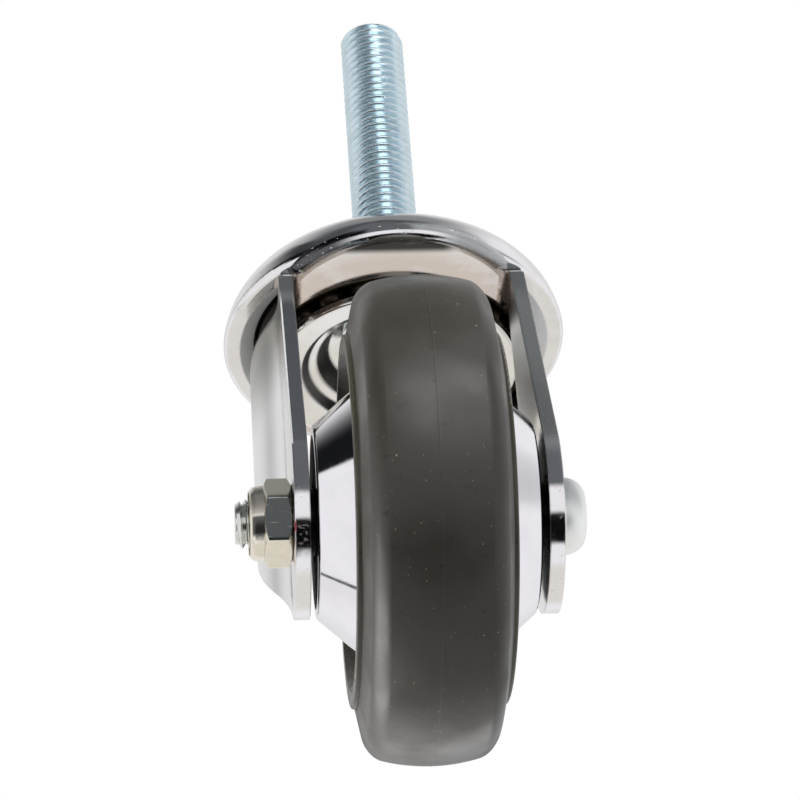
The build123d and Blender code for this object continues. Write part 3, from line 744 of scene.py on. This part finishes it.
# Thermoplastic rubber, moulded: dark warm grey with a soft gloss, a faint darker parting line,
# pale specks of dust and dark scuffs. The mould's grain is too fine to show, so the gloss varies
# in clouds of 12 mm instead.
TYRE_RUBBER = Finish(
    "grey_moulded_rubber", "tyre_rubber", "2d2b26", "34322c", drift=0.5, drift_mm=14.0, gloss=0.38,
    metal=0.0, grain_mm=12.0, wave_mm=4.0, wave_height=0.001, shine=0.4,
    stains_and_painted_light=(
        StainOrPaintedLight("2b2a25", 0.5, 0.4, (Reach(Along.X, -0.1, 0.1, 0.15),), patch_mm=6.0, floor=0.4,
              ceiling=0.55, metal=0.0),
        StainOrPaintedLight("c0b9a8", 0.6, 0.5, patch_mm=0.5, floor=0.72, ceiling=0.735, metal=0.0),
        StainOrPaintedLight("141310", 0.55, 0.4, patch_mm=1.3, floor=0.665, ceiling=0.7, stretch=(2.0, 1.0, 1.0),
              metal=0.0),
    ),
)

# Nylon-like wheel core in an olive grey, injection moulded: an even tone with a soft gloss.
CORE_PLASTIC = Finish(
    "olive_grey_moulded_core", "core_plastic", "4a463c", "3f3b33", gloss=0.35, metal=0.0,
    wave_height=0.005,
)

# Uncoloured nylon: a milky white with a dull gloss.
NYLON = Finish("natural_nylon", "nylon", "e4e2da", "d8d5cb", gloss=0.4, metal=0.0, wave_height=0.0)


# ---- Sub-assemblies -----------------------------------------------------------------------------
@dataclass(frozen=True)
class Thread:
    """Metric thread: flanks at 60 degrees with flattened crests and roots."""

    major: float
    pitch: float
    half_crest: float = 1 / 16
    depth: float = 0.61

    def radius(self, along: np.ndarray, angle: np.ndarray) -> np.ndarray:
        """Radius of the thread's surface.

        With p = fractional part of (along / pitch - angle / turn), the distance from the crest is
        |p - 1/2| * pitch. The radius is the crest's within half_crest pitches of the crest's
        middle, then falls by 1.73 per unit of distance down to a root depth pitches deep.

        Args:
            along: Place along the axis in mm.
            angle: Angle round the axis in radians.

        Returns:
            Radius in mm, of the shape that along and angle broadcast to.
        """
        phase = (along / self.pitch - angle / (2 * math.pi)) % 1.0
        away = np.abs(phase - 0.5) * self.pitch
        fall = np.clip((away - self.pitch * self.half_crest) * STEEP, 0, self.depth * self.pitch)
        return self.major / 2 - fall


@dataclass(frozen=True)
class Hexagon:
    """Six flats round an axis, with corners that are rounded a little."""

    across_flats: float
    turn: float = 0.0
    sharpness: float = 36.0

    def radius(self, angle: np.ndarray) -> np.ndarray:
        """Radius at each angle: half the width over the flats divided by a soft maximum.

        The soft maximum over the six flats' directions d is (sum of max(0, cos(angle - d)) ** s)
        ** (1 / s), with s the sharpness; a sharp hexagon has the plain maximum there.

        Args:
            angle: Angle round the axis in radians.

        Returns:
            Radius in mm, of the shape of angle.
        """
        flats = math.radians(self.turn) + np.arange(6) * math.pi / 3
        towards = np.maximum(np.cos(angle[..., None] - flats), 0)
        soft_most = (towards ** self.sharpness).sum(-1) ** (1 / self.sharpness)
        return self.across_flats / 2 / soft_most


@dataclass
class SwivelHead:
    """The pieces that stay with the stem: stem, domed cap, spacer ring and lower race cup."""

    thread: Thread = Thread(major=12.0, pitch=1.75)
    stem_length: float = 62.5
    stem_chamfer: float = 1.3
    end_face_in: float = 0.35
    end_edge_in: float = 0.1
    end_edge_drop: float = 0.02
    neck_r: float = 4.9
    collar_r: float = 11.0
    collar_thick: float = 2.0
    shank_r: float = 6.5
    floor_z: float = -12.506
    peen_r: float = 8.0
    peen_wall: float = 0.8
    peen_end_r: float = 4.5
    peen_height: float = 2.4
    rows_per_pitch: int = 16
    columns: int = 128

    def build(self) -> Object:
        """Make and dress every piece of the head.

        Returns:
            The stem.
        """
        stem = self.stem()
        dress(("top_cap",), CAP_CHROME)
        dress(("lower_race_cup",), CUP_CHROME)
        dress(("race_spacer", "lower_balls"), GREASED_STEEL)
        dress(("upper_balls",), BALL_STEEL)
        return stem

    def stem(self) -> Object:
        """Threaded stem with its collar and peened lower end.

        Radius r(z, a) = min(thread(z, a), cone(z)) above the collar, where the cone narrows by 1 mm
        per mm to the chamfered top, and a plain turned outline from the collar down.

        Returns:
            The new object.
        """
        angle = ring_angles(self.columns)
        rows = int(self.stem_length / self.thread.pitch * self.rows_per_pitch)
        z = np.linspace(self.stem_length, 0, rows)[:, None]
        tip_r = self.thread.major / 2 - self.stem_chamfer
        cone = tip_r + np.minimum(self.stem_length - z, self.stem_chamfer)
        screw = np.minimum(self.thread.radius(z, angle), cone)
        top_r = np.array([0.0, tip_r - self.end_face_in, tip_r - self.end_edge_in])[:, None]
        top_z = self.stem_length - np.array([0.0, 0.0, self.end_edge_drop])[:, None]
        peen_z = self.floor_z - self.peen_height
        plain = rounded([
            (0.0, self.neck_r, 0.0), (0.0, self.collar_r, 0.5),
            (-self.collar_thick, self.collar_r, 0.15), (-self.collar_thick, self.shank_r, 0.0),
            (self.floor_z, self.shank_r, 0.0), (self.floor_z, self.peen_r, 0.2),
            (self.floor_z - self.peen_wall, self.peen_r, 0.5), (peen_z, self.peen_end_r, 2.0),
            (peen_z, 0.0, 0.0),
        ])
        flat = np.ones_like(angle)
        along = np.vstack([top_z, z, plain[:, :1]]) * flat
        radius = np.vstack([top_r * flat, screw, plain[:, 1:] * flat])
        mesh = grid_mesh("stem", place(along, radius, angle, Turning.STEM), False)
        return piece("threaded_stem_turned", mesh, STEM_ZINC, Body.HEAD, ("threaded_stem",))


@dataclass
class PressedFork:
    """The one-piece fork and the pieces of the axle that are fixed to it."""

    thread: Thread = Thread(major=8.0, pitch=1.25)
    nut_hex: Hexagon = Hexagon(13.0, turn=27.0)
    socket: Hexagon = Hexagon(5.0, sharpness=60.0)
    leg_x: float = 21.5
    nut_height: float = 4.6
    nut_chamfer_r: float = 6.15
    nut_seat_r: float = 5.5
    nut_bore_clear: float = 0.03
    nut_fine_zone: float = 1.0
    nut_fine_rows: int = 14
    nut_plain_zone: float = 1.2
    nut_plain_rows: int = 4
    collar_r: float = 6.2
    collar_end: float = 28.5
    collar_taper: float = 0.25
    collar_round: float = 1.3
    collar_floor: float = 0.3
    ring_r: float = 5.03
    stickout: float = 2.2
    end_r: float = 3.1
    end_chamfer: float = 0.9
    shank_r: float = 4.0
    shank_start: float = 0.5
    shank_rows: int = 130
    head_r: float = 7.0
    flange_thick: float = 1.2
    flange_round: float = 0.3
    dome_r: float = 6.4
    dome_rows: int = 20
    head_height: float = 4.9
    socket_depth: float = 2.6
    socket_land: float = 0.8
    socket_chamfer: float = 0.35
    columns: int = 240

    def build(self) -> None:
        """Make and dress the fork and its axle pieces."""
        dress(("fork",), FORK_CHROME)
        self.nut()
        self.bolt()
        dress(("bearing_tube", "end_spacer_left", "end_spacer_right"), OILED_STEEL_AND_SHADE)
        dress(("nut_nylon_ring",), NYLON)
        dress(("bearing_inner_left", "bearing_inner_right"), BALL_STEEL)

    def nut(self) -> Object:
        """Lock nut: a hexagon cut by a cone at each end, then a rounded collar with a stepped bore.

        Hexagon: r(x, a) = min(hexagon(a), cone(x)), where the cone opens by 1.73 mm per mm from
        the chamfer's radius at both ends. The collar and the bore are a plain turned outline.

        Returns:
            The new object.
        """
        angle = ring_angles(self.columns)
        height, fine, plain = self.nut_height, self.nut_fine_zone, self.nut_plain_zone
        depth = np.concatenate([
            np.linspace(0, fine, self.nut_fine_rows),
            np.linspace(plain, height - plain, self.nut_plain_rows),
            np.linspace(height - fine, height, self.nut_fine_rows),
        ])[:, None]
        from_end = np.minimum(depth, height - depth)
        hexagon = np.minimum(self.nut_hex.radius(angle), self.nut_chamfer_r + from_end * STEEP)
        start, end = -self.leg_x, -self.collar_end
        hex_x = start - height
        floor_x = hex_x + self.collar_floor
        bore_r = self.thread.major / 2 + self.nut_bore_clear
        collar = rounded([
            (hex_x, self.collar_r, 0.0), (end, self.collar_r - self.collar_taper, self.collar_round),
            (end, self.ring_r, 0.2), (floor_x, self.ring_r, 0.0), (floor_x, bore_r, 0.0),
            (start, bore_r, 0.0), (start, self.nut_seat_r, 0.0),
        ])
        flat = np.ones_like(angle)
        along = np.vstack([start - depth, collar[:, :1]]) * flat
        radius = np.vstack([hexagon, collar[:, 1:] * flat])
        mesh = grid_mesh("nut", place(along, radius, angle, Turning.AXLE), True)
        return piece("lock_nut_turned", mesh, NUT_ZINC, Body.FORK, ("lock_nut",))

    def bolt(self) -> Object:
        """Axle bolt: a domed head with a hexagon socket, a plain shank and a threaded end.

        Rows run from the socket's floor over the dome to the shank and the threaded end. The
        dome is a quarter ellipse from the socket's land to the flange: (cos, sin) of the swing
        times its height and width. The end narrows by 1 mm per mm.

        Returns:
            The new object.
        """
        angle = ring_angles(self.columns)
        flat = np.ones_like(angle)
        top = self.leg_x + self.head_height
        flange = self.leg_x + self.flange_thick
        land = self.socket.across_flats / 2 + self.socket_land
        swing = np.linspace(0, math.pi / 2, self.dome_rows)[:, None]
        dome_x = top - (top - flange) * (1 - np.cos(swing))
        dome_r = land + (self.dome_r - land) * np.sin(swing)
        floor = top - self.socket_depth
        # Five rows: the floor's middle, its edge, the foot of the wall, its top, the wider mouth.
        socket_x = np.array([floor, floor, floor + 0.05, top - self.socket_chamfer, top])[:, None]
        socket_r = self.socket.radius(angle) * np.array([0, 0.98, 1, 1, 1.06])[:, None]
        rim = rounded([
            (flange, self.dome_r, 0.0), (flange, self.head_r, self.flange_round),
            (self.leg_x, self.head_r, self.flange_round), (self.leg_x, self.shank_r, 0.0),
        ])
        end = -(self.collar_end + self.stickout)
        x = np.linspace(-self.leg_x + self.shank_start, end, self.shank_rows)[:, None]
        cone = self.end_r + np.minimum(x - end, self.end_chamfer)
        screw = np.minimum(self.thread.radius(x, angle), cone)
        along = np.vstack([socket_x, dome_x, rim[:, :1], x, [[end]]]) * flat
        radius = np.vstack([socket_r, dome_r * flat, rim[:, 1:] * flat, screw, 0 * flat])
        mesh = grid_mesh("bolt", place(along, radius, angle, Turning.AXLE), False)
        return piece("axle_bolt_turned", mesh, BOLT_ZINC, Body.FORK, ("axle_bolt",))


@dataclass
class RoadWheel:
    """Tyre, core, bearings and thread guards."""

    tread_half: float = 10.2
    edge_r: float = 38.25
    crown: float = 1.75
    shoulder: float = 2.9
    side_half: float = 11.9
    rim_r: float = 30.5
    side_round: float = 0.2
    key_half: float = 3.0
    key_r: float = 32.5
    side_rise: float = 2.5
    tread_flat: float = 7.4
    tread_rows: int = 40
    tread_slack: float = 0.01
    tread_share: float = 0.9
    parting_zone: float = 0.4
    parting_rows: int = 15
    parting_half: float = 0.12
    parting_height: float = 0.035
    columns: int = 256

    def build(self) -> Object:
        """Make and dress every piece of the wheel.

        Returns:
            The tyre.
        """
        tyre = self.tyre()
        dress(("wheel_core",), CORE_PLASTIC)
        for side in ("left", "right"):
            dress((f"thread_guard_{side}",), GUARD_CHROME)
            dress((f"bearing_outer_{side}", f"bearing_balls_{side}"), BALL_STEEL)
            dress((f"bearing_shields_{side}", f"bearing_cage_{side}"), SHIELD_STEEL)
        return tyre

    def tyre(self) -> Object:
        """Tyre with a crowned tread, rounded shoulders and the ridge of its mould's parting line.

        The radius is raised by crown * (1 - (x / half width) ** 2), less and less down the sides,
        and on the tread by a narrow bell curve, exp(-(x / half width of the ridge) ** 2).

        Returns:
            The new object.
        """
        key, side = self.key_half, self.side_half
        shell = rounded([
            (-self.tread_half, self.edge_r, self.shoulder),
            (self.tread_half, self.edge_r, self.shoulder), (side, self.rim_r, self.side_round),
            (key, self.rim_r, 0.0), (key, self.key_r, 0.0), (-key, self.key_r, 0.0),
            (-key, self.rim_r, 0.0), (-side, self.rim_r, self.side_round),
        ], steps=10)
        across = np.union1d(np.linspace(-self.tread_flat, self.tread_flat, self.tread_rows),
                            np.linspace(-self.parting_zone, self.parting_zone, self.parting_rows))
        # Finer rows for the tread go in where the outline has passed the first shoulder.
        split = int(np.argmax((shell[:, 0] > 0) & (shell[:, 1] > self.edge_r - self.tread_slack)))
        tread = np.stack([across, np.full_like(across, self.edge_r)], -1)
        outline = np.vstack([shell[:split], tread, shell[split:]])
        x, r = outline[:, 0], outline[:, 1]
        foot_r = self.rim_r + self.side_rise
        raised = np.clip((r - foot_r) / (self.edge_r - foot_r), 0, 1)
        bell = np.exp(-(x / self.parting_half) ** 2) * self.parting_height
        bulge = self.crown * (1 - (x / self.tread_half) ** 2).clip(0)
        outline[:, 1] += raised * bulge + (raised > self.tread_share) * bell
        points = place(outline[:, :1], outline[:, 1:], ring_angles(self.columns), Turning.AXLE)
        mesh = grid_mesh("tyre_moulded", points, True)
        return piece("tyre_moulded", mesh, TYRE_RUBBER, Body.WHEEL, ("tyre",))


# ---- Studio -------------------------------------------------------------------------------------
@dataclass(frozen=True)
class Panel:
    """One patch of tone in the room, as polished metal sees it.

    Attributes:
        azimuth: Its middle in degrees from the front (-Y), positive to the right (+X).
        elevation: Its middle in degrees above the horizon.
        half_width: Half its width in degrees of azimuth.
        half_height: Half its height in degrees.
        soft_side: Width of its soft left and right borders in degrees.
        soft_edge: Width of its soft upper and lower borders in degrees.
        colour: Its tone.
    """

    azimuth: float
    elevation: float
    half_width: float
    half_height: float
    soft_side: float
    soft_edge: float
    colour: str

    def over(
        self, tree: NodeTree, ray: NodeSocket, height: NodeSocket, under: NodeSocket,
    ) -> NodeSocket:
        """Lay this panel over the room's tone so far.

        With the panel's middle at azimuth m, the ray's azimuth from there is the angle whose
        tangent is (ray dot sideways at m) / (ray dot forwards at m).

        Args:
            tree: The world's node tree.
            ray: The direction looked in.
            height: That direction's elevation in radians.
            under: The tone so far.

        Returns:
            The tone with this panel on it.
        """
        turn = math.radians(self.azimuth)
        sine, cosine = math.sin(turn), math.cos(turn)
        forwards, sideways = (
            node(tree, "VectorMath", {0: ray, 1: way}, operation="DOT_PRODUCT").outputs["Value"]
            for way in ((sine, -cosine, 0), (cosine, sine, 0))
        )
        angle = node(tree, "Math", {0: sideways, 1: forwards}, operation="ARCTAN2")
        rise = node(tree, "Math", {0: height, 1: math.radians(self.elevation)}, operation="SUBTRACT")
        across = self.inside(tree, angle.outputs[0], self.half_width, self.soft_side)
        upright = self.inside(tree, rise.outputs[0], self.half_height, self.soft_edge)
        share = node(tree, "Math", {0: across, 1: upright}, operation="MULTIPLY")
        mixed = node(tree, "Mix", {
            "Factor": share.outputs[0], "A": under, "B": linear(self.colour),
        }, data_type="RGBA")
        return mixed.outputs["Result"]

    def inside(self, tree: NodeTree, angle: NodeSocket, half: float, soft: float) -> NodeSocket:
        """Soft step that is 1 within half degrees of the panel's middle.

        Args:
            tree: The world's node tree.
            angle: Angle from the middle in radians.
            half: Half the panel's size in degrees.
            soft: Width of its soft border in degrees.

        Returns:
            The step.
        """
        away = node(tree, "Math", {0: angle}, operation="ABSOLUTE")
        step = node(tree, "MapRange", {
            "Value": away.outputs[0], "From Min": math.radians(half - soft / 2),
            "From Max": math.radians(half + soft / 2), "To Min": 1.0, "To Max": 0.0,
        }, interpolation_type=Step.SOFT.value)
        return step.outputs["Result"]


@dataclass(frozen=True)
class SoftBox:
    """One rectangular lamp that looks at the wheel.

    Attributes:
        name: Its name.
        at: Its centre in metres.
        size: Its width and height in metres.
        power: Watts.
    """

    name: str
    at: tuple[float, float, float]
    size: tuple[float, float]
    power: float

    def hang(self, pieces: tuple[Object, ...] = ()) -> None:
        """Put the lamp up; one that lights every piece stays out of sight of polished metal.

        Args:
            pieces: The only pieces that it lights, if it doesn't light all of them.
        """
        light = bpy.data.lights.new(self.name, "AREA")
        light.shape, light.energy = "RECTANGLE", self.power
        light.size, light.size_y = self.size
        made = bpy.data.objects.new(self.name, light)
        made.location = self.at
        aim = Vector(WHEEL_CENTRE) * MM - Vector(self.at)
        made.rotation_mode = "QUATERNION"
        made.rotation_quaternion = aim.to_track_quat("-Z", "Y")
        made.visible_glossy = bool(pieces)
        bpy.context.scene.collection.objects.link(made)
        if pieces:
            lit = bpy.data.collections.new(f"{self.name}_lights")
            for lit_piece in pieces:
                lit.objects.link(lit_piece)
            made.light_linking.receiver_collection = lit


# The room that polished metal sees: near white, with these panels laid over it and over one another
# in order. Each has azimuth, elevation, half width, half height, soft side, soft edge and tone.
ROOM_TONE = "f4f3f5"
ROOM = (
    # Behind: a pale wall above and a warm pale one below.
    Panel(-160, 50, 70, 42, 30, 30, "e4e4e4"),
    Panel(176, -52, 62, 32, 30, 16, "e6e3de"),
    # Overhead: a grey ceiling.
    Panel(0, 92, 200, 26, 20, 22, "8c8e8f"),
    # In front and above: near black on the left, dark grey at the top, pale grey on the right,
    # middle grey in the middle. They give the cap's dome and the front arch their bands.
    Panel(-60, 46, 57, 18, 65, 3, "17181a"),
    Panel(-15, 78, 80, 20, 70, 16, "4d5054"),
    Panel(45, 38, 38, 34, 24, 10, "a3a7aa"),
    Panel(-14, 42, 28, 40, 10, 8, "63666a"),
    # In front and below: two near black panels.
    Panel(-21, -54, 27, 22, 6, 6, "0c0c0d"),
    Panel(14, -48, 34, 18, 6, 6, "0c0c0d"),
    # On the left: a thin upright bar, a grey panel low down and a near black one above.
    Panel(-116, -22, 1.2, 12, 1.5, 4, "5a5b5e"),
    Panel(-60, -62, 16, 20, 12, 8, "7c868b"),
    Panel(-48, 22, 22, 17, 8, 8, "0a0c0e"),
    # On the right, low down: a pale blue grey panel.
    Panel(88, -54, 14, 9, 14, 10, "b0b9bd"),
)


@dataclass
class Studio:
    """Camera, floor, world and lamps."""

    # A dark patch in front and below that only the soft light has, so that undersides stay dark.
    shade: Panel = Panel(-5, -40, 90, 44, 50, 30, "020202")
    # Lamps for every piece, then for the tyre alone and for the stem alone.
    room_boxes: tuple[SoftBox, ...] = (
        SoftBox("left_box", (-0.8, -0.8, 0.8), (0.8, 0.8), 17.0),
        SoftBox("right_box", (0.8, -0.6, 0.9), (0.9, 0.9), 17.0),
    )
    tyre_boxes: tuple[SoftBox, ...] = (
        SoftBox("front_box", (0.2, -1.15, 0.4), (1.1, 0.7), 10.5),
        SoftBox("back_box", (-0.1, 1.15, -0.6), (1.6, 0.9), 6.0),
        SoftBox("side_box", (-1.0, 0.45, -0.65), (1.2, 1.2), 24.0),
    )
    stem_boxes: tuple[SoftBox, ...] = (
        SoftBox("low_box", (0.1, -0.19, -0.75), (0.34, 0.34), 2.4),
        SoftBox("stem_box", (0.11, -0.74, 0.32), (0.42, 0.6), 1.75),
    )
    camera_at: tuple[float, float, float] = (-0.0410, -0.4791, -0.3908)
    looks_at: tuple[float, float, float] = (0.0004, 0.0, -0.026)
    roll: float = -4.25
    lens: float = 151.4
    sensor: float = 36.0
    sight: tuple[float, float] = (0.01, 20.0)
    floor_z: float = -0.9
    floor_half: float = 4.0
    paper: str = "efeeec"
    soft_light: float = 0.8

    def build(self) -> None:
        """Set up the camera, the floor, the world and the lamps that light every piece."""
        bpy.context.scene.view_settings.view_transform = "Standard"
        self.camera()
        self.floor()
        self.world()
        for box in self.room_boxes:
            box.hang()

    def light_pieces(self, tyre: Object, stem: Object) -> None:
        """Hang the lamps that light only the tyre and those that light only the stem.

        Args:
            tyre: The tyre's object.
            stem: The stem's object.
        """
        for boxes, lit_piece in ((self.tyre_boxes, tyre), (self.stem_boxes, stem)):
            for box in boxes:
                box.hang((lit_piece,))

    def camera(self) -> None:
        """Camera from below and in front, rolled a little."""
        eye, target = Vector(self.camera_at), Vector(self.looks_at)
        forward = (target - eye).normalized()
        right = forward.cross(Vector((0, 0, 1))).normalized()
        up = right.cross(forward)
        turn = math.radians(self.roll)
        level_right = right * math.cos(turn) + up * math.sin(turn)
        level_up = up * math.cos(turn) - right * math.sin(turn)
        lens = bpy.data.cameras.new("camera")
        lens.lens, lens.sensor_width = self.lens, self.sensor
        lens.clip_start, lens.clip_end = self.sight
        made = bpy.data.objects.new("camera", lens)
        made.matrix_world = Matrix((
            (*level_right, 0), (*level_up, 0), (*(-forward), 0), (0, 0, 0, 1),
        )).transposed()
        made.location = eye
        bpy.context.scene.collection.objects.link(made)
        bpy.context.scene.camera = made

    def floor(self) -> None:
        """Pale floor well below the hanging castor, white to the camera and unseen by mirrors."""
        half, low = self.floor_half, self.floor_z
        mesh = bpy.data.meshes.new("floor")
        corners = [(-half, -half, low), (half, -half, low), (half, half, low), (-half, half, low)]
        mesh.from_pydata(corners, [], [(0, 1, 2, 3)])
        made = bpy.data.objects.new("floor", mesh)
        bpy.context.scene.collection.objects.link(made)
        paper = bpy.data.materials.new("pale_paper")
        paper.use_nodes = True
        tree = paper.node_tree
        tree.nodes.clear()
        seen = node(tree, "LightPath")
        plain = node(tree, "BsdfDiffuse", {"Color": linear(self.paper)})
        white = node(tree, "Emission", {"Color": WHITE, "Strength": 1.0})
        mixed = node(tree, "MixShader", {
            "Fac": seen.outputs["Is Camera Ray"], 1: plain.outputs["BSDF"],
            2: white.outputs["Emission"],
        })
        node(tree, "OutputMaterial", {"Surface": mixed.outputs["Shader"]})
        mesh.materials.append(paper)
        made.visible_glossy = False

    def world(self) -> None:
        """White to the camera, panels of white and dark to polished metal, soft light to the rest."""
        world = bpy.data.worlds.new("soft_room")
        bpy.context.scene.world = world
        world.use_nodes = True
        tree = world.node_tree
        tree.nodes.clear()
        ray = node(tree, "TexCoord").outputs["Generated"]
        split = node(tree, "SeparateXYZ", {"Vector": ray})
        height = node(tree, "Math", {0: split.outputs["Z"]}, operation="ARCSINE").outputs[0]
        tone = node(tree, "RGB").outputs[0]
        tone.default_value = linear(ROOM_TONE)
        for panel in ROOM:
            tone = panel.over(tree, ray, height, tone)
        seen = node(tree, "LightPath")
        shaded = self.shade.over(tree, ray, height, tone)
        soft = node(tree, "Background", {"Color": shaded, "Strength": self.soft_light})
        room = node(tree, "Background", {"Color": tone, "Strength": 1.0})
        white = node(tree, "Background", {"Color": WHITE, "Strength": 1.0})
        lit = node(tree, "MixShader", {
            "Fac": seen.outputs["Is Glossy Ray"], 1: soft.outputs["Background"],
            2: room.outputs["Background"],
        })
        mixed = node(tree, "MixShader", {
            "Fac": seen.outputs["Is Camera Ray"], 1: lit.outputs["Shader"],
            2: white.outputs["Background"],
        })
        node(tree, "OutputWorld", {"Surface": mixed.outputs["Shader"]})


def main() -> None:
    """Set up the studio, build the castor in order, then light its tyre and its stem."""
    logging.basicConfig(level=logging.INFO, format="%(name)s: %(message)s")
    studio = Studio()
    studio.build()
    stem = SwivelHead().build()
    PressedFork().build()
    tyre = RoadWheel().build()
    studio.light_pieces(tyre, stem)


if __name__ == "__main__":
    main()
